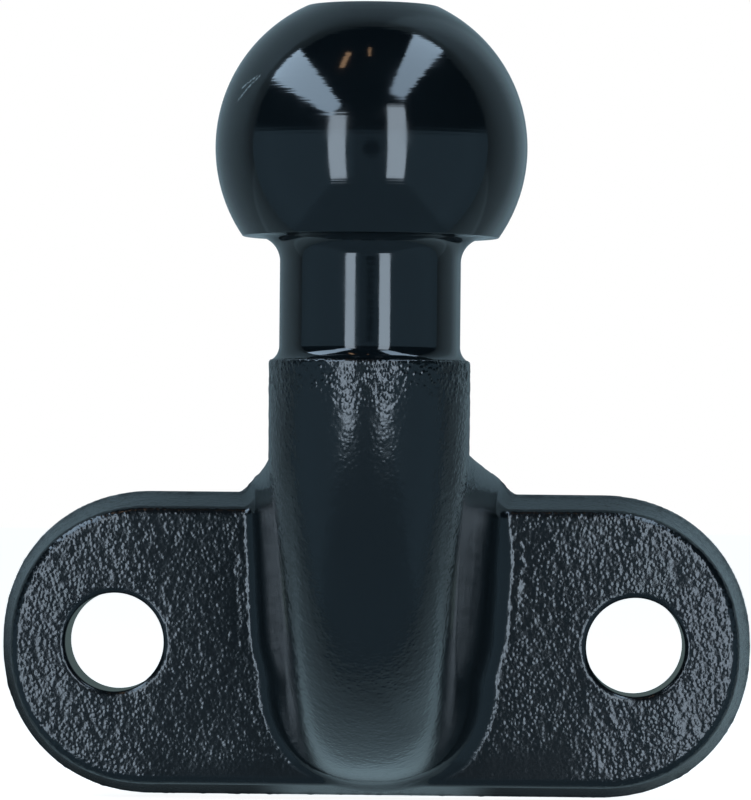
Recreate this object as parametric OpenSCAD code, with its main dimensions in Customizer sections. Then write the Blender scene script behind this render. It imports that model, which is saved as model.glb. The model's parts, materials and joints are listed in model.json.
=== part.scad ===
// Two-bolt flange tow ball for 50 mm couplings: one drop forging, turned at the
// top and drilled twice, drawn as its four regions.
// Millimetres. Origin: middle of the two bolt holes, on the mounting face.
// +Z is up, towards the ball. +Y points out of the mounting face, into the
// bracket, so the ball stands on the -Y side. +X is to the right.

/* [Ball] */
// Diameter of the coupling ball
ball_d = 50; // [49:0.1:50]
// Height of the ball's centre above the bolt holes
ball_z = 82; // [81:1:110]
// Distance from the mounting face to the ball's axis
ball_reach = 80; // [74:1:110]
// Height of the flat top above the ball's centre
ball_top = 22.7; // [21:0.1:24]
// Depth of the flat underside below the ball's centre
ball_under = 14.3; // [13:0.1:16]

/* [Neck] */
// Diameter of the turned neck
neck_d = 29; // [27:0.5:29]
// Distance from the ball's centre down to the neck's shoulder
neck_drop = 34; // [32:0.5:35]
// Radius of the fillet under the ball
neck_top_fillet = 4; // [2:0.5:5]
// Radius of the fillet at the shoulder
neck_foot_fillet = 2.65; // [2:0.05:3.5]
// How far the foot fillet spreads before it meets the shoulder
neck_foot_flare = 1.1; // [0.6:0.1:1.2]

/* [Stem] */
// Diameter of the forged column
stem_d = 32.2; // [31.6:0.2:36]
// Radius of the elbow's outer curve
elbow_r = 69; // [54:1:69]
// Height of the elbow's underside relative to the bolt holes
elbow_z = -22.5; // [-23:0.5:-21.5]
// Radius of the trunk's rounded underside at the flange
root_r = 18; // [17:0.1:18.5]
// Angle at which the trunk's sides open upwards, in degrees
side_open = 4.5; // [3:0.5:8]
// Angle at which the trunk's sides close towards the column, in degrees
side_close = 5.5; // [5:0.1:6]
// Radius of the hollow curve between the trunk's top and the column
inner_r = 12; // [8:1:14]
// Height of the trunk's top above the bolt holes, at the mounting face
trunk_top = 29.6; // [27:0.2:31]
// Slope of the trunk's top, in degrees
trunk_slope = 3; // [2:0.5:4]

/* [Flange] */
// Length of the flange on the mounting face
flange_len = 131.4; // [126:0.2:140]
// Height of the flange on the mounting face
flange_h = 53.4; // [50:0.2:60]
// How far the flange's middle lies below the bolt holes
flange_drop = 0.4; // [0:0.1:1]
// Thickness of the flange
flange_t = 15; // [12:0.5:20]
// How far the forged edge leans in from back to front
flange_draft = 2.5; // [1:0.1:3.5]
// Size of the broken edge round the front face
flange_edge = 1.2; // [0.6:0.1:2]
// Distance between the bolt holes
hole_spacing = 90; // [83:1:95]
// Diameter of the bolt holes
hole_d = 17; // [13:0.5:17]
// Size of the chamfer at each hole's front rim
hole_chamfer = 0.5; // [0.2:0.1:1]

/* [Hidden] */
$fn = 96;
overlap = 1;                    // how far a cutter passes through a face
stem_chamfer = stem_d / 2 - neck_d / 2 - neck_foot_flare;
shoulder_z = ball_z - neck_drop;
under_z = ball_z - ball_under;
flange_end_x = flange_len / 2 - flange_h / 2;
column_back = ball_reach - stem_d / 2;            // back of the column, from the face
elbow_start = ball_reach + stem_d / 2 - elbow_r;  // where elbow meets the root
root_z = elbow_z + stem_d / 2;                    // axis of the trunk's round underside
hollow_y = column_back - inner_r;                 // where the hollow runs out on the trunk
hollow_z = trunk_top + tan(trunk_slope) * hollow_y;
hollow_sink = 0.3;              // how far the hollow's thin edge is sunk in the trunk's top
seam_y = flange_t + 5;          // where the stem region ends, from the face: the trunk's
                                // widest part and its fillets belong to the flange

// A solid of revolution about the ball's vertical axis
module on_ball_axis() {
    translate([0, -ball_reach, 0])
        rotate_extrude()
            children();
}

// The coupling ball, with its flat top and flat underside
module ball() {
    r = ball_d / 2;
    color("#20242c")
        on_ball_axis()
            intersection() {
                translate([0, ball_z])
                    circle(r = r);
                translate([0, under_z])
                    square([r + overlap, ball_top + ball_under]);
            }
}

// The turned neck: half section, spreading at both ends
module neck_section() {
    r = neck_d / 2;
    foot_h = sqrt(neck_foot_fillet ^ 2 - (neck_foot_fillet - neck_foot_flare) ^ 2);
    translate([0, shoulder_z])
        square([r, under_z - shoulder_z]);
    difference() {
        translate([0, under_z - neck_top_fillet])
            square([r + neck_top_fillet, neck_top_fillet]);
        translate([r + neck_top_fillet, under_z - neck_top_fillet])
            circle(r = neck_top_fillet);
    }
    difference() {
        translate([0, shoulder_z])
            square([r + neck_foot_flare, foot_h]);
        translate([r + neck_foot_fillet, shoulder_z + foot_h])
            circle(r = neck_foot_fillet);
    }
}

module neck() {
    color("#20242c")
        on_ball_axis()
            neck_section();
}

// The round column from the elbow up to the shoulder
module column() {
    r = stem_d / 2;
    translate([0, -ball_reach, elbow_z + elbow_r])
        cylinder(r = r, h = shoulder_z - elbow_z - elbow_r - stem_chamfer);
    translate([0, -ball_reach, shoulder_z - stem_chamfer])
        cylinder(r1 = r, r2 = r - stem_chamfer, h = stem_chamfer);
}

// The bend: the column's round section turned through a quarter circle
module elbow() {
    r = stem_d / 2;
    translate([0, -elbow_start, elbow_z + elbow_r])
        rotate([0, 90, 0])
            rotate([0, 0, -90])
                rotate_extrude(angle = 90)
                    translate([elbow_r - r, 0])
                        circle(r = r);
}

// The trunk's round underside, swelling from the elbow to the plate
module root() {
    translate([0, 0, root_z])
        rotate([90, 0, 0]) {
            cylinder(r = root_r, h = flange_t);
            translate([0, 0, flange_t])
                cylinder(r1 = root_r, r2 = stem_d / 2, h = elbow_start - flange_t);
        }
}

// Side outline of the trunk: a sloping top, and a front that follows the
// elbow's middle line. First number: distance forwards from the mounting face
module trunk_side() {
    intersection() {
        polygon([
            [0, root_z],
            [0, trunk_top],
            [ball_reach, trunk_top + tan(trunk_slope) * ball_reach],
            [ball_reach, root_z],
        ]);
        union() {
            translate([elbow_start, elbow_z + elbow_r])
                circle(r = elbow_r - stem_d / 2);
            translate([0, root_z])
                square([elbow_start, shoulder_z - root_z]);
        }
    }
}

// Plan of the trunk's top: it closes onto the column's back, and its tip ends
// inside the column. Second number: distance forwards
module trunk_plan() {
    r = stem_d / 2;
    w = root_r + (trunk_top - root_z) * tan(side_open);
    tip = 0.8 * r;
    polygon([
        [-w, 0],
        [w, 0],
        [w, flange_t],
        [r, column_back],
        [tip, ball_reach],
        [-tip, ball_reach],
        [-r, column_back],
        [-w, flange_t],
    ]);
}

// The space between the trunk's two drafted sides, which open upwards and
// close towards the column
module between_sides() {
    reach = 2 * ball_reach;
    intersection_for(side = [0, 1])
        mirror([side, 0, 0])
            translate([root_r, -flange_t, root_z])
                rotate([0, side_open, -side_close])
                    translate([-reach, -reach, -reach])
                        cube([reach, 2 * reach, 2 * reach]);
}

// The web of the trunk, from the mounting face to inside the column
module web() {
    intersection() {
        translate([flange_h / 2, 0, 0])
            rotate([90, 0, -90])
                linear_extrude(flange_h)
                    trunk_side();
        translate([0, 0, -flange_h])
            mirror([0, 1, 0])
                linear_extrude(2 * flange_h)
                    trunk_plan();
    }
}

// The hollow curve that carries the column's back down onto the trunk's top
module hollow() {
    r = stem_d / 2;
    base = hollow_z - hollow_sink;
    intersection() {
        on_ball_axis()
            difference() {
                translate([0, base])
                    square([r + inner_r, inner_r]);
                translate([r + inner_r, base + inner_r])
                    circle(r = inner_r);
            }
        translate([-stem_d / 2, -ball_reach, 0])
            cube([stem_d, ball_reach, shoulder_z]);
    }
}

// A slice of space between two distances along Y, for splitting the trunk
module slab(y_from, y_to) {
    translate([-flange_len, y_from, -flange_len])
        cube([2 * flange_len, y_to - y_from, 2 * flange_len]);
}

// Everything below the neck but the column and the plate
module trunk() {
    intersection() {
        union() {
            web();
            elbow();
        }
        between_sides();
    }
    root();
}

module stem() {
    color("#1b1e24")
        union() {
            column();
            hollow();
            intersection() {
                trunk();
                slab(-ball_reach - stem_d, -seam_y);
            }
        }
}

// Half section of the plate from its middle line: drafted edge, broken front
module plate_section() {
    h = flange_h / 2;
    polygon([
        [0, 0],
        [h, 0],
        [h - flange_draft, flange_t - flange_edge],
        [h - flange_draft - flange_edge, flange_t],
        [0, flange_t],
    ]);
}

// The stadium plate: a straight middle and two round ends
module plate() {
    translate([0, 0, -flange_drop])
        rotate([90, 0, 0]) {
            translate([-flange_end_x, 0, 0])
                rotate([90, 0, 90])
                    linear_extrude(2 * flange_end_x) {
                        plate_section();
                        mirror([1, 0])
                            plate_section();
                    }
            for (side = [-1, 1])
                translate([side * flange_end_x, 0, 0])
                    rotate([0, 0, -side * 90])
                        rotate_extrude(angle = 180)
                            plate_section();
        }
}

// One bolt hole with its front chamfer
module bolt_hole() {
    rotate([90, 0, 0]) {
        translate([0, 0, -overlap])
            cylinder(d = hole_d, h = flange_t + 2 * overlap);
        translate([0, 0, flange_t - hole_chamfer])
            cylinder(r1 = hole_d / 2, r2 = hole_d / 2 + 2 * hole_chamfer, h = 2 * hole_chamfer);
    }
}

module flange() {
    color("#1b1e24")
        difference() {
            union() {
                plate();
                intersection() {
                    trunk();
                    slab(-seam_y, 0);
                }
            }
            for (side = [-1, 1])
                translate([side * hole_spacing / 2, 0, 0])
                    bolt_hole();
        }
}

ball();
neck();
stem();
flange();
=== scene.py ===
"""Black-painted, drop-forged flange tow ball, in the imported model's frame.

The ball and the neck are turned, so they are solids of revolution. The stem and
the flange are one rough forging: a distance field describes it, a net of quads
is wrapped round the field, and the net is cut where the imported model's stem
meets its flange. Shapes are worked out in millimetres; Blender gets metres.
"""

import json
import math

import bpy
import numpy as np
from mathutils import Matrix, Vector


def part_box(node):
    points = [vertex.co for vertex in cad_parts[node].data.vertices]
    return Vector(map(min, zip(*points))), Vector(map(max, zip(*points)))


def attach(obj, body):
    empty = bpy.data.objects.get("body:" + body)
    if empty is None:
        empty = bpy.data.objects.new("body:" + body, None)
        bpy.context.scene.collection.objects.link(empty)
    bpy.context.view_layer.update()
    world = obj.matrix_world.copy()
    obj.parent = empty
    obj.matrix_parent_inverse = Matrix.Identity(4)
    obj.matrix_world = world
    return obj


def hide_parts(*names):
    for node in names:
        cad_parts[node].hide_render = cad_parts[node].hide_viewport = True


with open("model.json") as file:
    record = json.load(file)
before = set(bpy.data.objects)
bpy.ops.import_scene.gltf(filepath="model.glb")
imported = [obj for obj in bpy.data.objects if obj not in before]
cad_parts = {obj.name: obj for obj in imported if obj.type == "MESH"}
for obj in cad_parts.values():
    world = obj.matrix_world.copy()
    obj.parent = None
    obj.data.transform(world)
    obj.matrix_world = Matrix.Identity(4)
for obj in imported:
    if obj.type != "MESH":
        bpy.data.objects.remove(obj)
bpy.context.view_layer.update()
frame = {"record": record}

MM = 0.001
MOUNTS = {m["name"]: m for m in frame["record"]["mounts"]}


def mm(metres):
    """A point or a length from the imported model, in millimetres."""
    return np.asarray(metres, float) / MM


# ---------------------------------------------------------------- dimensions

BALL_CENTRE = mm(MOUNTS["coupling_ball"]["pos_m"])
REACH = -BALL_CENTRE[1]                       # mounting face to the ball's axis
BALL_R = 25.0
BALL_LOW, BALL_HIGH = (mm(corner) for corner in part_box("ball"))
NECK_LOW, NECK_HIGH = (mm(corner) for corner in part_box("neck"))
FLANGE_LOW, FLANGE_HIGH = (mm(corner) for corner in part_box("flange"))
NECK_R = 14.5
NECK_FLARE = 1.1                              # spread of the neck's foot
STEM_R = 16.1
SHOULDER_Z = NECK_LOW[2]

HALF_LEN, HALF_H = FLANGE_HIGH[0], 26.7
PLATE_DROP = 0.4                              # the plate's middle lies below its holes
END_X = HALF_LEN - HALF_H                     # centres of the flange's round ends
PLATE_T = 15.0
END_POWER = 2.12                              # 2 would make the plate's ends round
PLATE_LEAN = 0.181                            # draft of the plate's edge, as a slope
PLATE_EDGE_R = 1.3                            # rounding of its front edge
RELIEF_ROOM = 0.15                            # how far inside the edge starts, for its relief
BACK_EDGE_R = 0.4                             # rounding of the mounting face's edge
HOLE_X = mm(MOUNTS["right_hole"]["pos_m"])[0]
HOLE_R = MOUNTS["right_hole"]["dims"]["r_mm"]
HOLE_EDGE_R = 0.8

ELBOW_R = 73.0                                # outer curve of the elbow
BEND_R = ELBOW_R - STEM_R                     # its middle line
BEND_Y = -(REACH + STEM_R - ELBOW_R)          # centre of the bend
ROOT_Z = -6.7                                 # axis of the trunk's round underside
BEND_Z = ROOT_Z + BEND_R
ROOT_R = 17.9                                 # that underside's radius at the plate
CHEEK = 1.2                                   # how the sides swell just above it
CHEEK_H = 8.0                                 # height over which they do
SIDE_OPEN = math.tan(math.radians(3))         # draft of the trunk's sides
TONGUE_W = 14.0                               # half width of the elbow, low down
TAPER_H = 37.9                                # height over which it narrows to that
SQUARENESS = 0.5                              # how far the elbow's section is from round
TOP_Z = 29.6                                  # height of the trunk's top at the plate
TOP_SLOPE = 0.07                              # its rise towards the column
TOP_ROUND = 3.5                               # rounding along its two edges
SWELL = 1.2                                   # how the trunk's sides curve out
SWELL_EASE = 12.0                             # length over which they begin to
SWELL_PAST = 1.3                              # they go on inside the plate, to this share
ROOT_PAST = 1.2                               # and so does the round underside
HOLLOW_R = 12.0                               # behind the column
SHOULDER_EDGE_R = 0.5
FILLET_R = 3.0                                # between trunk and plate, on the left
FILLET_MORE = 1.7                             # added to it on the right
CREASE = 0.15                                 # sinks the fillets' edges, so they end sharply
SEAM_Y = FLANGE_LOW[1]                        # where stem and flange nodes meet


# ------------------------------------------------------- distance field tools

def smooth_step(value, low, high):
    t = np.clip((value - low) / (high - low), 0, 1)
    return t * t * (3 - 2 * t)


def round_union(a, b, r):
    """Either shape, with a hollow fillet of radius r where they meet."""
    gap = np.hypot(np.maximum(r - a, 0), np.maximum(r - b, 0))
    return np.maximum(r, np.minimum(a, b)) - gap


def round_cut(a, b, r):
    """Both shapes at once, with the shared edge rounded to radius r."""
    gap = np.hypot(np.maximum(r + a, 0), np.maximum(r + b, 0))
    return np.minimum(-r, np.maximum(a, b)) + gap


def rounded(a, b, power):
    """Radius of a section: 2 gives an ellipse, a larger power a squarer one."""
    return (np.abs(a) ** power + np.abs(b) ** power) ** (1 / power)


def plate_reach(x, z):
    """Distance from the plate's middle line: its ends are a little fuller than round."""
    return rounded(np.maximum(np.abs(x) - END_X, 0), z + PLATE_DROP, END_POWER)


def plate_field(x, y, z):
    """The stadium plate, its edge leaning in towards the front."""
    depth = -y
    across = plate_reach(x, z)
    edge = HALF_H - RELIEF_ROOM - PLATE_LEAN * depth
    side = (across - edge) / math.hypot(1, PLATE_LEAN)
    return round_cut(side, depth - PLATE_T, PLATE_EDGE_R)


def line_width(z):
    """Half width of the tube on its middle line: it narrows on the way down."""
    return TONGUE_W + (STEM_R - TONGUE_W) * np.clip((z - ROOT_Z) / TAPER_H, 0, 1) ** 2


def half_width(y, z):
    """Half width of elbow and trunk: it swells from their front to the plate."""
    drop = np.clip(BEND_Z - z, 0, BEND_R)
    start = BEND_Y - np.sqrt(BEND_R ** 2 - drop ** 2 + SWELL_EASE ** 2)
    share = np.clip((y - start) / (-PLATE_T - start), 0, SWELL_PAST) ** SWELL
    up = np.maximum(z - ROOT_Z, 0)
    plate_w = ROOT_R + CHEEK * smooth_step(up, 0, CHEEK_H) + SIDE_OPEN * up
    line_w = line_width(z)
    return line_w + (plate_w - line_w) * share


def tube_fields(x, y, z):
    """Column, elbow and root as a whole tube, and the outline of tube and sides."""
    by, bz = y - BEND_Y, z - BEND_Z
    q = np.maximum(np.hypot(by, bz), 1e-6)
    column = np.hypot(x, y + REACH) - STEM_R

    w = half_width(BEND_Y + by / q * BEND_R, BEND_Z + bz / q * BEND_R)
    out = q - BEND_R
    square = 2 + SQUARENESS * np.clip(-bz / q, 0, 1) ** 2
    elbow = (rounded(x / w, out / STEM_R, square) - 1) * w

    root_w = half_width(y, np.full_like(y, ROOT_Z))
    share = by / (-PLATE_T - BEND_Y)
    root_h = STEM_R + (ROOT_R - STEM_R) * np.clip(share, 0, ROOT_PAST) ** 2
    square = 2 + SQUARENESS * np.clip(1 - share, 0, 1)
    root = (rounded(x / root_w, (ROOT_Z - z) / root_h, square) - 1) * root_w

    above, behind = bz >= 0, by >= 0
    tube = np.where(above, column, np.where(behind, root, elbow))
    is_front = np.where(above, y < -REACH, np.where(behind, z < ROOT_Z, out > 0))
    return column, tube, np.where(is_front, tube, np.abs(x) - half_width(y, z))


def trunk_field(x, y, z):
    """Column, elbow and trunk, with the hollow behind the column."""
    column, tube, outline = tube_fields(x, y, z)
    top = (z - TOP_Z + TOP_SLOPE * y) / math.hypot(1, TOP_SLOPE)
    back = y + REACH
    facing_back = np.clip(back / np.maximum(np.hypot(x, back), 1e-6), 0, 1)
    filled = round_union(column, top, HOLLOW_R * facing_back ** 2)
    body = np.minimum(tube, round_cut(filled, outline, TOP_ROUND))
    return round_cut(body, z - SHOULDER_Z, SHOULDER_EDGE_R)


def rightness(x):
    """0 to the left of the trunk and 1 to its right."""
    return 0.5 + 0.5 * np.tanh(x / 8)


def fillet_radius(x, z):
    """Radius of the hollow between trunk and plate: larger on the right, tight below."""
    not_at_top = smooth_step(-z, -26, -14)
    at_bottom = smooth_step(-z, 20, 25)
    radius = FILLET_R + FILLET_MORE * rightness(x) * not_at_top
    return radius * (1 - 0.5 * at_bottom)


def forging_field(x, y, z):
    """The whole rough forging below the neck, holes drilled. Negative inside."""
    plate = plate_field(x, y, z)
    body = round_union(plate + CREASE, trunk_field(x, y, z), fillet_radius(x, z) - CREASE)
    body = np.minimum(body, plate)
    body = round_cut(body, y, BACK_EDGE_R)
    hole = np.hypot(np.abs(x) - HOLE_X, z)
    return round_cut(body, HOLE_R - hole, HOLE_EDGE_R)


# ------------------------------------------------------------ net of quads

CORNERS = np.array([(i, j, k) for i in (0, 1) for j in (0, 1) for k in (0, 1)])
CUBE_EDGES = [
    (a, b)
    for a in range(8)
    for b in range(a + 1, 8)
    if np.abs(CORNERS[a] - CORNERS[b]).sum() == 1
]


def sample_field(field, axes):
    """The field on a grid, slab by slab to spare memory."""
    x, y, z = axes
    out = np.empty((len(x), len(y), len(z)), np.float32)
    slab = 16
    for i in range(0, len(x), slab):
        gx, gy, gz = np.meshgrid(x[i:i + slab], y, z, indexing="ij")
        out[i:i + slab] = field(gx, gy, gz)
    return out


def quad_net(values, axes):
    """One vertex in each cell the surface passes through, and quads between them."""
    inside = values < 0
    cells = tuple(n - 1 for n in inside.shape)
    count = np.zeros(cells, np.uint8)
    for c in CORNERS:
        count += inside[c[0]:c[0] + cells[0], c[1]:c[1] + cells[1], c[2]:c[2] + cells[2]]
    active = (count > 0) & (count < 8)
    cell = np.argwhere(active)
    index = np.full(cells, -1, np.int64)
    index[active] = np.arange(len(cell))

    corner = cell[:, None, :] + CORNERS[None]
    at = values[corner[..., 0], corner[..., 1], corner[..., 2]].astype(float)
    place = np.stack([axes[d][corner[..., d]] for d in range(3)], -1)
    total, hits = np.zeros((len(cell), 3)), np.zeros(len(cell))
    for a, b in CUBE_EDGES:
        crosses = (at[:, a] < 0) != (at[:, b] < 0)
        span = np.where(crosses, at[:, a] - at[:, b], 1)
        t = np.where(crosses, at[:, a] / span, 0)[:, None]
        total += np.where(crosses[:, None], place[:, a] + t * (place[:, b] - place[:, a]), 0)
        hits += crosses
    points = total / hits[:, None]

    quads = []
    for axis in range(3):
        u, v = (axis + 1) % 3, (axis + 2) % 3
        low = np.take(inside, range(cells[axis]), axis)
        high = np.take(inside, range(1, cells[axis] + 1), axis)
        edge = np.argwhere(low != high)
        edge = edge[(edge[:, u] > 0) & (edge[:, v] > 0)]
        edge = edge[(edge[:, u] < cells[u]) & (edge[:, v] < cells[v])]
        ring = []
        for du, dv in ((1, 1), (0, 1), (0, 0), (1, 0)):
            c = edge.copy()
            c[:, u] -= du
            c[:, v] -= dv
            ring.append(index[c[:, 0], c[:, 1], c[:, 2]])
        ring = np.stack(ring, 1)
        outward = low[edge[:, 0], edge[:, 1], edge[:, 2]]
        ring[~outward] = ring[~outward][:, ::-1]
        quads.append(ring)
    return points, np.concatenate(quads)


def gradient(field, p, h=0.04):
    """Direction in which the field grows fastest, at each point."""
    g = np.empty_like(p)
    for d in range(3):
        step = np.zeros(3)
        step[d] = h
        g[:, d] = field(*(p + step).T) - field(*(p - step).T)
    return g / (2 * h)


def settle(field, p, quads, rounds=4, least_slope=0.05, longest_move=0.3):
    """Evens out the net and pulls it exactly onto the surface."""
    a = np.concatenate([quads.ravel(), np.roll(quads, -1, 1).ravel()])
    b = np.concatenate([np.roll(quads, -1, 1).ravel(), quads.ravel()])
    n = np.bincount(a, minlength=len(p))[:, None]
    for turn in range(rounds):
        if turn < rounds - 1:
            mean = np.stack([np.bincount(a, p[b, d], len(p)) for d in range(3)], 1) / n
            p = p + 0.5 * (mean - p)
        for _ in range(2):
            g = gradient(field, p)
            size = np.maximum((g ** 2).sum(1), least_slope)
            move = -(field(*p.T) / size)[:, None] * g
            length = np.linalg.norm(move, axis=1, keepdims=True)
            p = p + move * np.minimum(1, longest_move / np.maximum(length, 1e-9))
    return p


# ------------------------------------------------------------ surface texture

MOST_RELIEF = 0.3


def grain(p, wavelength, seed, waves=28):
    """Even random relief of about unit height: a sum of plane waves."""
    rng = np.random.default_rng(seed)
    way = rng.normal(size=(waves, 3))
    way /= np.linalg.norm(way, axis=1, keepdims=True)
    way *= (2 * np.pi / wavelength) * rng.uniform(0.7, 1.4, (waves, 1))
    phase = rng.uniform(0, 2 * np.pi, waves)
    total = np.zeros(len(p))
    for k, shift in zip(way, phase):
        total += np.cos(p @ k + shift)
    return total / math.sqrt(waves / 2)


def face_normals(points, quads):
    """Vertex normals averaged from the quads round each vertex."""
    a = points[quads[:, 2]] - points[quads[:, 0]]
    b = points[quads[:, 3]] - points[quads[:, 1]]
    facing = np.cross(a, b)
    normal = np.zeros_like(points)
    for side in range(4):
        for d in range(3):
            normal[:, d] += np.bincount(quads[:, side], facing[:, d], len(points))
    return normal / np.maximum(np.linalg.norm(normal, axis=1, keepdims=True), 1e-9)


def bell(value, middle, width):
    """1 where value is at the middle, falling off over this width."""
    return np.exp(-((value - middle) / width) ** 2)


def skin_of(p):
    """Where each point lies: fields of plate and trunk, and the fillet between."""
    x, y, z = p.T
    return plate_field(x, y, z), trunk_field(x, y, z), fillet_radius(x, z)


def plate_roughness(x, z, trunk, fillet):
    """Rough up to the fillets, smoother near the trunk and in the lower inner corners."""
    away = smooth_step(trunk, fillet - 2.0, fillet - 1.3)
    low = smooth_step(0.12 * np.maximum(x, 0) - z, 19, 23)
    corner = low * smooth_step(-np.abs(x), -40, -30)
    inner = smooth_step(-np.abs(x), -46, -34)
    return away * (1 - 0.85 * corner) * (1 - 0.3 * inner)


def trunk_roughness(p, plate, fillet):
    """Nearly smooth in the fillets, rougher on the sides, roughest at the column's top."""
    x, y, z = p.T
    side = np.abs(x)
    rough = 0.3 + 0.25 * smooth_step(plate, fillet, fillet + 3)
    rough += (1.3 + 0.4 * grain(p, 9, 17)) * smooth_step(z, 38, 47)
    on_column = smooth_step(side, 9, 14) * smooth_step(z, 5, 30) * smooth_step(-y, 50, 64)
    return rough + 0.5 * on_column


def roughness_of(p):
    """How rough the forged skin is: 0 on machined faces, about 1 on the plate's front."""
    x, y, z = p.T
    plate, trunk, fillet = skin_of(p)
    on_plate = plate_roughness(x, z, trunk, fillet)
    on_trunk = trunk_roughness(p, plate, fillet)
    from_hole = np.hypot(np.abs(x) - HOLE_X, z) - HOLE_R
    forged = smooth_step(-y, 0.3, 2.0) * smooth_step(from_hole, 0.3, 1.2)
    return forged * np.where(trunk < plate, on_trunk, on_plate)


def fillet_rim(p):
    """The raised rim, and on the left the groove, beside the fillets on the plate."""
    x, y, z = p.T
    plate, trunk, fillet = skin_of(p)
    from_fillet = trunk - fillet + 1
    on_front = smooth_step(-y, 13, 14.5) * (plate < 0.5)
    on_flange = smooth_step(z, -3, 3) * smooth_step(-z, -22, -19)
    rim = (0.025 + 0.055 * grain(p, 2.2, 16)) * bell(from_fillet, 0.9, 0.6)
    rim *= 0.5 + 0.5 * rightness(x)
    groove = 0.05 * bell(from_fillet, 2.2, 0.4)
    groove *= smooth_step(-x, 0, 5) * smooth_step(-z, -16, -13)
    return (rim - groove) * on_flange * on_front


def flash_line(p):
    """The uneven swelling round the plate's edge, where the two dies met."""
    x, y, z = p.T
    on_edge = plate_reach(x, z) > HALF_H - 4
    height = 0.12 + 0.05 * grain(p, 5, 14) + 0.05 * grain(p, 1.8, 15)
    return bell(-y, 2.2, 1.1) * on_edge * height


def texture_forging(p, quads):
    """Adds the relief left by forging, shot blasting and thick paint."""
    rough = roughness_of(p)
    relief = rough * (0.012 * grain(p, 1.7, 11) + 0.008 * grain(p, 3.5, 12))
    relief += np.clip(rough * 2, 0, 1) * 0.02 * grain(p, 13, 13)
    relief += fillet_rim(p) + flash_line(p)
    height = np.clip(relief, -MOST_RELIEF, MOST_RELIEF)
    return p + face_normals(p, quads) * height[:, None], rough


# ------------------------------------------------------------ blender helpers

def link(piece):
    bpy.context.scene.collection.objects.link(piece)
    return piece


def make_mesh(name, points, faces, caps=(), normals=None):
    """A smooth mesh object from millimetre points; caps are extra n-gons."""
    mesh = bpy.data.meshes.new(name)
    corners = np.concatenate([np.ravel(faces)] + [np.asarray(c) for c in caps])
    sizes = [np.shape(faces)[1]] * len(faces) + [len(c) for c in caps]
    starts = np.concatenate([[0], np.cumsum(sizes)[:-1]])
    mesh.vertices.add(len(points))
    mesh.vertices.foreach_set("co", (np.asarray(points) * MM).astype(np.float32).ravel())
    mesh.loops.add(len(corners))
    mesh.loops.foreach_set("vertex_index", corners.astype(np.int32))
    mesh.polygons.add(len(sizes))
    mesh.polygons.foreach_set("loop_start", starts.astype(np.int32))
    mesh.polygons.foreach_set("use_smooth", np.ones(len(sizes), bool))
    mesh.update(calc_edges=True)
    if normals is not None:
        mesh.normals_split_custom_set(normals[corners].tolist())
    return link(bpy.data.objects.new(name, mesh))


def finish_piece(piece, node, material):
    piece.data.materials.append(material)
    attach(piece, "root")
    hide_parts(node)


# ------------------------------------------------------------ the forging

STEP = 0.45            # size of the net's cells
MARGIN = 1.0                                  # empty cells round the forging


def build_forging():
    """The rough forging as one net, with a layer of cells centred on the seam."""
    layers = math.ceil((REACH + STEM_R + MARGIN + SEAM_Y) / STEP)
    front = SEAM_Y - (layers + 0.5) * STEP
    low = np.array([-HALF_LEN - MARGIN, front, -HALF_H - MARGIN])
    high = np.array([HALF_LEN + MARGIN, MARGIN, SHOULDER_Z + MARGIN])
    counts = np.ceil((high - low) / STEP).astype(int) + 1
    axes = [start + STEP * np.arange(count) for start, count in zip(low, counts)]
    points, quads = quad_net(sample_field(forging_field, axes), axes)
    layer = np.floor((points[:, 1] - low[1]) / STEP).astype(int)
    points = settle(forging_field, points, quads)
    points, rough = texture_forging(points, quads)
    on_seam = layer == layers
    points[on_seam, 1] = SEAM_Y
    return points, quads, layer < layers, rough


def boundary_loops(quads):
    """Rings of vertices round the open edges of a set of quads."""
    a, b = quads.ravel(), np.roll(quads, -1, 1).ravel()
    pairs = set(zip(a.tolist(), b.tolist()))
    following = {v: u for u, v in pairs if (v, u) not in pairs}
    rings = []
    while following:
        start, nxt = following.popitem()
        ring = [start]
        while nxt != start:
            ring.append(nxt)
            nxt = following.pop(nxt)
        rings.append(ring)
    return rings


def forged_piece(name, slot, material, points, quads, normals, rough):
    """One side of the cut forging, closed where it was cut."""
    rings = boundary_loops(quads)
    used, flat = np.unique(quads, return_inverse=True)
    place = np.full(len(points), -1)
    place[used] = np.arange(len(used))
    caps = [place[ring] for ring in rings]
    piece = make_mesh(name, points[used], flat.reshape(-1, 4), caps, normals[used])
    values = piece.data.attributes.new("rough", "FLOAT", "POINT")
    values.data.foreach_set("value", rough[used].astype(np.float32))
    finish_piece(piece, name, material)
    return piece


def forged_pieces(material):
    points, quads, ahead, rough = build_forging()
    normals = face_normals(points, quads)
    is_stem = ahead[quads].any(1)
    args = (material, points)
    forged_piece("stem", "forged_paint", *args, quads[is_stem], normals, rough)
    forged_piece("flange", "forged_paint", *args, quads[~is_stem], normals, rough)


# ------------------------------------------------------------ turned pieces

ARC_STEP = 0.35                               # longest step along an arc of a profile
TURNED_EDGE = math.radians(40)                # steeper edges stay sharp


def arc(centre_r, centre_z, radius, start, stop):
    """Points on an arc of a lathe profile; angles in degrees from outward."""
    steps = max(6, math.ceil(abs(math.radians(stop - start)) * radius / ARC_STEP))
    turn = np.radians(np.linspace(start, stop, steps + 1))
    return [(centre_r + radius * math.cos(t), centre_z + radius * math.sin(t)) for t in turn]


def straight(start, stop, step=0.5):
    """Evenly spaced points on a straight part of a lathe profile."""
    count = max(1, round(math.dist(start, stop) / step))
    share = np.linspace(0, 1, count + 1)[:, None]
    return [tuple(p) for p in np.array(start) + share * (np.array(stop) - start)]


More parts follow.
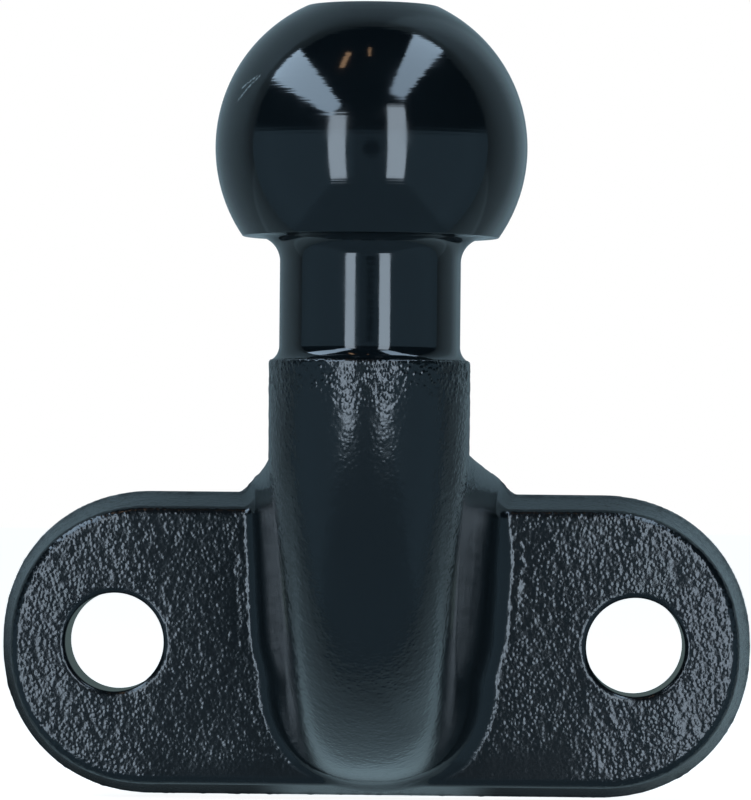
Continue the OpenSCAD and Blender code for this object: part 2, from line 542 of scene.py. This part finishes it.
def lathe(name, profile, turns=240):
    """Spins a profile of (radius, height) points and closes both of its ends."""
    angle = np.linspace(0, 2 * np.pi, turns, endpoint=False)
    rings = [
        np.stack([r * np.sin(angle), -REACH - r * np.cos(angle), np.full(turns, z)], 1)
        for r, z in profile
    ]
    points = np.concatenate(rings)
    step = np.arange(turns)
    after = (step + 1) % turns
    faces = [
        np.stack([k * turns + step, k * turns + after, (k + 1) * turns + after,
                  (k + 1) * turns + step], 1)
        for k in range(len(profile) - 1)
    ]
    last = (len(profile) - 1) * turns
    caps = [step[::-1], last + step]
    piece = make_mesh(name, points, np.concatenate(faces), caps)
    piece.data.set_sharp_from_angle(angle=TURNED_EDGE)
    return piece


def ball_piece(material):
    """A sphere with a turned flat on top and a square shoulder underneath."""
    top = BALL_HIGH[2] - BALL_CENTRE[2]
    under = BALL_LOW[2] - BALL_CENTRE[2]
    blend, rim = 1.1, 0.25
    inside_neck, middle = 10, 0.6
    tilt = math.degrees(math.asin((top - blend) / (BALL_R - blend)))
    blend_r = (BALL_R - blend) * math.cos(math.radians(tilt))
    rim_tilt = math.degrees(math.asin((under + rim) / (BALL_R - rim)))
    rim_r = (BALL_R - rim) * math.cos(math.radians(rim_tilt))
    profile = straight((inside_neck, under), (rim_r, under))
    profile += arc(rim_r, under + rim, rim, -90, rim_tilt)[1:]
    profile += arc(0, 0, BALL_R, rim_tilt, tilt)[1:]
    profile += arc(blend_r, top - blend, blend, tilt, 90)[1:]
    profile += straight((blend_r, top), (middle, top))[1:]
    ball = lathe("ball", [(r, z + BALL_CENTRE[2]) for r, z in profile])
    finish_piece(ball, "ball", material)


def neck_piece(material):
    """The turned neck: a fillet up to the ball and a flared foot."""
    low, high = NECK_LOW[2], NECK_HIGH[2]
    top_r, foot_r, inside = 4.0, 2.65, 8
    spread = math.degrees(math.acos((foot_r - NECK_FLARE) / foot_r))
    foot = arc(NECK_R + foot_r, 0, foot_r, 180 + spread, 180)
    lift = low - foot[0][1]
    profile = straight((inside, low), (foot[0][0], low))
    profile += [(r, z + lift) for r, z in foot[1:]]
    profile += straight((NECK_R, low + foot_r), (NECK_R, high - top_r))[1:]
    profile += arc(NECK_R + top_r, high - top_r, top_r, 180, 90)[1:]
    profile += straight((NECK_R + top_r, high), (inside, high))[1:]
    finish_piece(lathe("neck", profile), "neck", material)


# ------------------------------------------------------------ shader helpers

def add_node(tree, kind, inputs=None, **settings):
    """Adds a shader node; inputs maps a socket to a value or to an output."""
    made = tree.nodes.new(kind)
    for key, value in settings.items():
        setattr(made, key, value)
    for socket, value in (inputs or {}).items():
        if isinstance(value, bpy.types.NodeSocket):
            tree.links.new(value, made.inputs[socket])
        else:
            made.inputs[socket].default_value = value
    return made


def calc(tree, operation, *values):
    """One sum on numbers."""
    return add_node(tree, "ShaderNodeMath", dict(enumerate(values)), operation=operation).outputs[0]


def product(tree, first, *others):
    """All of these numbers multiplied together."""
    for value in others:
        first = calc(tree, "MULTIPLY", first, value)
    return first


def without(tree, amount):
    """What a number leaves of one."""
    return calc(tree, "SUBTRACT", 1.0, amount)


def vector_calc(tree, operation, *values):
    """One sum on vectors. The node's outputs are Vector, or Value for a number."""
    return add_node(tree, "ShaderNodeVectorMath", dict(enumerate(values)), operation=operation)


def coordinates(tree, output="Object"):
    """The place, and its x, y and z."""
    place = add_node(tree, "ShaderNodeTexCoord").outputs[output]
    parts = add_node(tree, "ShaderNodeSeparateXYZ", {0: place}).outputs
    return place, parts["X"], parts["Y"], parts["Z"]


def fade(tree, value, low, high, at_low=0.0, at_high=1.0):
    """Smooth change from at_low to at_high as value goes from low to high."""
    ends = {"Value": value, "From Min": low, "From Max": high, "To Min": at_low, "To Max": at_high}
    made = add_node(tree, "ShaderNodeMapRange", ends, interpolation_type="SMOOTHSTEP")
    return made.outputs["Result"]


def noise(tree, position, wavelength_mm, detail=2.0, roughness=0.5):
    """Noise between 0 and 1 with features about this wide."""
    inputs = {"Vector": position, "Scale": 1 / (wavelength_mm * MM), "Detail": detail,
              "Roughness": roughness}
    return add_node(tree, "ShaderNodeTexNoise", inputs).outputs["Fac"]


def bump(tree, height, depth_mm, normal=None, strength=1.0):
    """Tilts the normal as if the surface rose by depth_mm where height is 1."""
    inputs = {"Height": height, "Distance": depth_mm * MM, "Strength": strength}
    if normal is not None:
        inputs["Normal"] = normal
    return add_node(tree, "ShaderNodeBump", inputs).outputs["Normal"]


def new_material(name, base, roughness):
    """A dielectric paint; returns the material, its tree and its shader."""
    material = bpy.data.materials.new(name)
    material.use_nodes = True
    tree = material.node_tree
    shader = tree.nodes["Principled BSDF"]
    shader.inputs["Base Color"].default_value = (*base, 1)
    shader.inputs["Roughness"].default_value = roughness
    shader.inputs["IOR"].default_value = 1.5
    return material, tree, shader


def connect(tree, output, socket):
    tree.links.new(output, socket)


# ------------------------------------------------------------ materials

BLACK_PAINT = (0.0016, 0.0025, 0.0031)
SCRATCH_PAINT = (0.09, 0.105, 0.105)
SCRATCHES = (
    ((-21.3, -91.6, 88.2), (-17.0, -94.9, 92.8)),
    ((-20.6, -91.4, 90.4), (-17.7, -94.2, 92.5)),
)


def scratch(tree, place, start, end):
    """1 along a thin scratch on the ball, between two points in millimetres."""
    start, end = Vector(start) * MM, Vector(end) * MM
    along, length = (end - start).normalized(), (end - start).length
    across = along.cross(start - Vector(BALL_CENTRE * MM)).normalized()
    offset = vector_calc(tree, "SUBTRACT", place, start).outputs[0]
    run = vector_calc(tree, "DOT_PRODUCT", offset, along).outputs["Value"]
    side = vector_calc(tree, "DOT_PRODUCT", offset, across).outputs["Value"]
    near = fade(tree, vector_calc(tree, "LENGTH", offset).outputs["Value"], length, 0.9 * length)
    line = fade(tree, calc(tree, "ABSOLUTE", side), 0.3 * MM, 0.1 * MM)
    return product(tree, line, fade(tree, run, 0.0, 0.2 * length), near)


def turned_paint():
    """Thin gloss black over a turned surface: tool rings, dust and two scratches show."""
    material, tree, shader = new_material("turned_paint", BLACK_PAINT, 0.08)
    place, _, _, z = coordinates(tree)
    along = add_node(tree, "ShaderNodeCombineXYZ", {"Z": z}).outputs[0]
    rings = noise(tree, along, 0.75, 2.0, 0.6)
    normal = bump(tree, rings, 0.022)
    normal = bump(tree, noise(tree, place, 1.6, 1.0), 0.0030, normal)
    normal = bump(tree, noise(tree, place, 7.0, 1.0), 0.012, normal)
    connect(tree, normal, shader.inputs["Normal"])
    worn = calc(tree, "MAXIMUM", *(scratch(tree, place, *ends) for ends in SCRATCHES))
    worn = product(tree, worn, fade(tree, noise(tree, place, 0.6, 3.0), 0.35, 0.6))
    paint = vector_calc(tree, "MULTIPLY_ADD", worn, SCRATCH_PAINT, BLACK_PAINT).outputs[0]
    connect(tree, paint, shader.inputs["Base Color"])
    dust = fade(tree, noise(tree, place, 6.0, 4.0), 0.35, 0.75, 0.06, 0.12)
    dull = calc(tree, "ADD", dust, product(tree, worn, 0.35))
    connect(tree, dull, shader.inputs["Roughness"])
    return material


def forged_paint():
    """Thick gloss black over a shot-blasted forging skin."""
    material, tree, shader = new_material("forged_paint", BLACK_PAINT, 0.18)
    place = coordinates(tree)[0]
    rough = add_node(tree, "ShaderNodeAttribute", attribute_name="rough").outputs["Fac"]
    grains = {"Vector": place, "Scale": 1 / (0.78 * MM)}
    cells = add_node(tree, "ShaderNodeTexVoronoi", grains, feature="F1").outputs["Distance"]
    pimples = fade(tree, cells, 0.68, 0.02)
    normal = bump(tree, product(tree, pimples, rough), 0.040)
    uneven = noise(tree, place, 1.1, 2.0)
    normal = bump(tree, product(tree, uneven, rough), 0.075, normal)
    normal = bump(tree, noise(tree, place, 0.8, 2.0), 0.012, normal)
    connect(tree, normal, shader.inputs["Normal"])
    return material


def floor_paint():
    """Pale studio paper."""
    material, tree, shader = new_material("pale_paper", (0.9, 0.9, 0.9), 0.9)
    shader.inputs["Emission Color"].default_value = (1, 1, 1, 1)
    shader.inputs["Emission Strength"].default_value = 0.9
    return material


# ------------------------------------------------------------ studio

STRIP_TINT = (0.70, 0.85, 1.0)
PANEL_TINT = (0.58, 0.785, 1.0)
ROOM_TINT = Vector((0.60, 1.0, 1.32))
WALL_TINT = Vector((0.42, 0.59, 0.60))
GLINT_TINT = (1.0, 0.62, 0.36)
PAPER = (0.176, 0.215, 0.218)
ROOM_LEVEL = 0.38                             # radiance of the room in front
DARKEST = 0.003                               # and of its darkest parts
CAMERA_PLACE = Vector((0.0174, -0.920, 0.0336))
LENS_SOFT, LENS_HARD = math.cos(math.radians(8)), math.cos(math.radians(4.5))


def softbox(name, centre, across, along, radiance, tint):
    """A soft lamp placed from the ball; across and along are its full edges."""
    centre, across, along = Vector(centre), Vector(across), Vector(along)
    away = across.cross(along).normalized()
    if away.dot(centre) < 0:
        along, away = -along, -away
    data = bpy.data.lights.new(name, "AREA")
    data.shape = "RECTANGLE"
    data.size, data.size_y = across.length, along.length
    data.energy = radiance * math.pi * data.size * data.size_y
    data.color = tint
    lamp = link(bpy.data.objects.new(name, data))
    frame_axes = Matrix((across.normalized(), along.normalized(), away)).transposed()
    lamp.matrix_world = frame_axes.to_4x4()
    lamp.location = Vector(BALL_CENTRE * MM) + centre
    lamp.visible_camera = False


def make_lamps():
    """Two tall softboxes in front, two panels overhead and two small warm lamps high up."""
    front_l, front_r = (-0.170, -0.388, -0.019), (0.140, -0.400, 0.009)
    softbox("left_front", front_l, (0.0842, -0.0382, 0), (0, 0, 0.353), 7.2, STRIP_TINT)
    softbox("right_front", front_r, (0.0941, 0.0338, 0), (0, 0, 0.408), 7.2, STRIP_TINT)
    top_l, top_r = (-0.296, -0.280, 0.284), (0.192, -0.230, 0.364)
    softbox("left_top", top_l, (0.0968, 0, 0.1008), (0, 0.64, 0), 7.3, PANEL_TINT)
    softbox("right_top", top_r, (-0.1028, 0, 0.0528), (0, 0.54, 0), 6.6, PANEL_TINT)
    spot_l, spot_r = (-0.41, -0.59, 1.31), (-0.03, -0.48, 1.42)
    softbox("left_spot", spot_l, (0.07, -0.037, 0), (0.15, 0.28, 0.12), 4.5, GLINT_TINT)
    softbox("right_spot", spot_r, (0.04, 0, 0), (0, 0.17, 0.06), 3.5, GLINT_TINT)


def dim_middle(tree, x, y, z, front):
    """1 where the room is dimmer: straight in front, and over the table below."""
    side = calc(tree, "ABSOLUTE", x)
    depth = calc(tree, "MAXIMUM", calc(tree, "ABSOLUTE", y), 0.001)
    ahead = product(tree, fade(tree, calc(tree, "DIVIDE", side, depth), 0.27, 0.17), front)
    beside = calc(tree, "SUBTRACT", product(tree, z, -0.93), side)
    table = product(tree, fade(tree, beside, -0.07, 0.05), fade(tree, z, -0.36, -0.44))
    return calc(tree, "MAXIMUM", ahead, table)


def room_level(tree, way, x, y, z):
    """How bright the room is in each direction, with the camera's dark lens in it."""
    front = fade(tree, y, 0.2, 0.1)
    dark_above = product(tree, fade(tree, z, 0.125, 0.195), front)
    level = calc(tree, "SUBTRACT", ROOM_LEVEL, product(tree, dim_middle(tree, x, y, z, front), 0.13))
    level = calc(tree, "ADD", product(tree, level, without(tree, dark_above)), DARKEST)
    to_camera = (CAMERA_PLACE - Vector(BALL_CENTRE * MM)).normalized()
    toward = vector_calc(tree, "DOT_PRODUCT", way, to_camera).outputs["Value"]
    lens = fade(tree, toward, LENS_SOFT, LENS_HARD, 0.0, 0.7)
    return product(tree, level, fade(tree, y, -0.2, 0.08, 1.0, 0.78), without(tree, lens))


def make_room():
    """A dim room in front, dark above, and a white wall that only the camera sees."""
    world = bpy.data.worlds.new("studio")
    bpy.context.scene.world = world
    world.use_nodes = True
    tree = world.node_tree
    way, x, y, z = coordinates(tree, "Generated")
    behind = fade(tree, y, 0.5, 0.9)
    tint = vector_calc(tree, "MULTIPLY_ADD", behind, WALL_TINT - ROOM_TINT, ROOM_TINT).outputs[0]
    light = {"Color": tint, "Strength": room_level(tree, way, x, y, z)}
    room = add_node(tree, "ShaderNodeBackground", light).outputs[0]
    wall = add_node(tree, "ShaderNodeBackground", {"Color": (1, 1, 1, 1), "Strength": 1.0}).outputs[0]
    seen = add_node(tree, "ShaderNodeLightPath").outputs["Is Camera Ray"]
    mixed = add_node(tree, "ShaderNodeMixShader", {0: seen, 1: room, 2: wall}).outputs[0]
    connect(tree, mixed, tree.nodes["World Output"].inputs["Surface"])


def painted_flange_shadow(tree, x, z, reach):
    """1 where a painted shadow of the flange darkens the paper: close to its lower edge, away from
    the trunk.
    """
    near = fade(tree, reach, 0.036, 0.030)
    aside = fade(tree, calc(tree, "ABSOLUTE", x), 0.012, 0.022)
    tilted = calc(tree, "ADD", z, product(tree, x, 0.2))
    return product(tree, fade(tree, tilted, 0.006, -0.024), near, aside)


def painted_paper_light(tree, x, z, reach):
    """How pale the paper is: darkened by the flange's painted shadow, and made paler by painted light
    to the right, below and in a band under the flange.
    """
    shadow = painted_flange_shadow(tree, x, z, reach)
    # painted light: the paper is paler in these zones so that the paint reflects more light from them
    right = product(tree, fade(tree, x, 0.04, 0.06, 0.0, 0.5), fade(tree, x, 0.14, 0.08))
    below = fade(tree, z, -0.032, -0.055, 0.0, 0.5)
    strip = product(tree, fade(tree, z, -0.030, -0.036, 0.0, 0.75), fade(tree, z, -0.058, -0.046))
    level = without(tree, product(tree, shadow, 0.88))
    for more in (right, below, strip):
        level = calc(tree, "ADD", level, more)
    return level


def backdrop_paint():
    """Grey paper, open behind the flange, with painted shadow and painted light in its colour."""
    material, tree, shader = new_material("grey_paper", PAPER, 0.9)
    _, x, _, z = coordinates(tree)
    beyond = calc(tree, "SUBTRACT", calc(tree, "ABSOLUTE", x), END_X * MM)
    beyond = calc(tree, "MAXIMUM", beyond, 0.0)
    squares = calc(tree, "ADD", product(tree, beyond, beyond), product(tree, z, z))
    reach = calc(tree, "SQRT", squares)
    connect(tree, fade(tree, reach, 0.0255, 0.0262), shader.inputs["Alpha"])
    paint = vector_calc(tree, "SCALE", PAPER)
    # the paper's colour is scaled by its painted shadow and painted light
    connect(tree, painted_paper_light(tree, x, z, reach), paint.inputs["Scale"])
    connect(tree, paint.outputs[0], shader.inputs["Base Color"])
    return material


def make_backdrop():
    """Grey paper close behind the flange; only the paint's reflections show it."""
    half, y = 900, 0.3
    corners = np.array([(-half, y, -half), (half, y, -half), (half, y, half), (-half, y, half)])
    backdrop = make_mesh("backdrop", corners, np.array([[0, 1, 2, 3]]))
    backdrop.data.materials.append(backdrop_paint())
    backdrop.visible_camera = False
    backdrop.visible_diffuse = False
    backdrop.visible_shadow = False


def make_floor():
    """Pale floor just under the flange."""
    half, drop = 3000, 0.1
    z = FLANGE_LOW[2] - drop
    corners = np.array([(-half, -half, z), (half, -half, z), (half, half, z), (-half, half, z)])
    floor = make_mesh("floor", corners, np.array([[0, 1, 2, 3]]))
    floor.data.materials.append(floor_paint())
    floor.visible_glossy = False
    floor.visible_shadow = False


def make_camera():
    """A long lens, almost square to the flange and a little below its ball."""
    data = bpy.data.cameras.new("camera")
    data.lens = 236
    camera = link(bpy.data.objects.new("camera", data))
    yaw, pitch, roll = math.radians(1.117), math.radians(0.547), math.radians(0.55)
    turn = Matrix.Rotation(yaw, 4, "Z") @ Matrix.Rotation(math.pi / 2 + pitch, 4, "X")
    turn = turn @ Matrix.Rotation(roll, 4, "Z")
    camera.matrix_world = Matrix.Translation(CAMERA_PLACE) @ turn
    bpy.context.scene.camera = camera
    bpy.context.scene.view_settings.view_transform = "Standard"


turned = turned_paint()
ball_piece(turned)
neck_piece(turned)
forged_pieces(forged_paint())
make_lamps()
make_room()
make_backdrop()
make_floor()
make_camera()
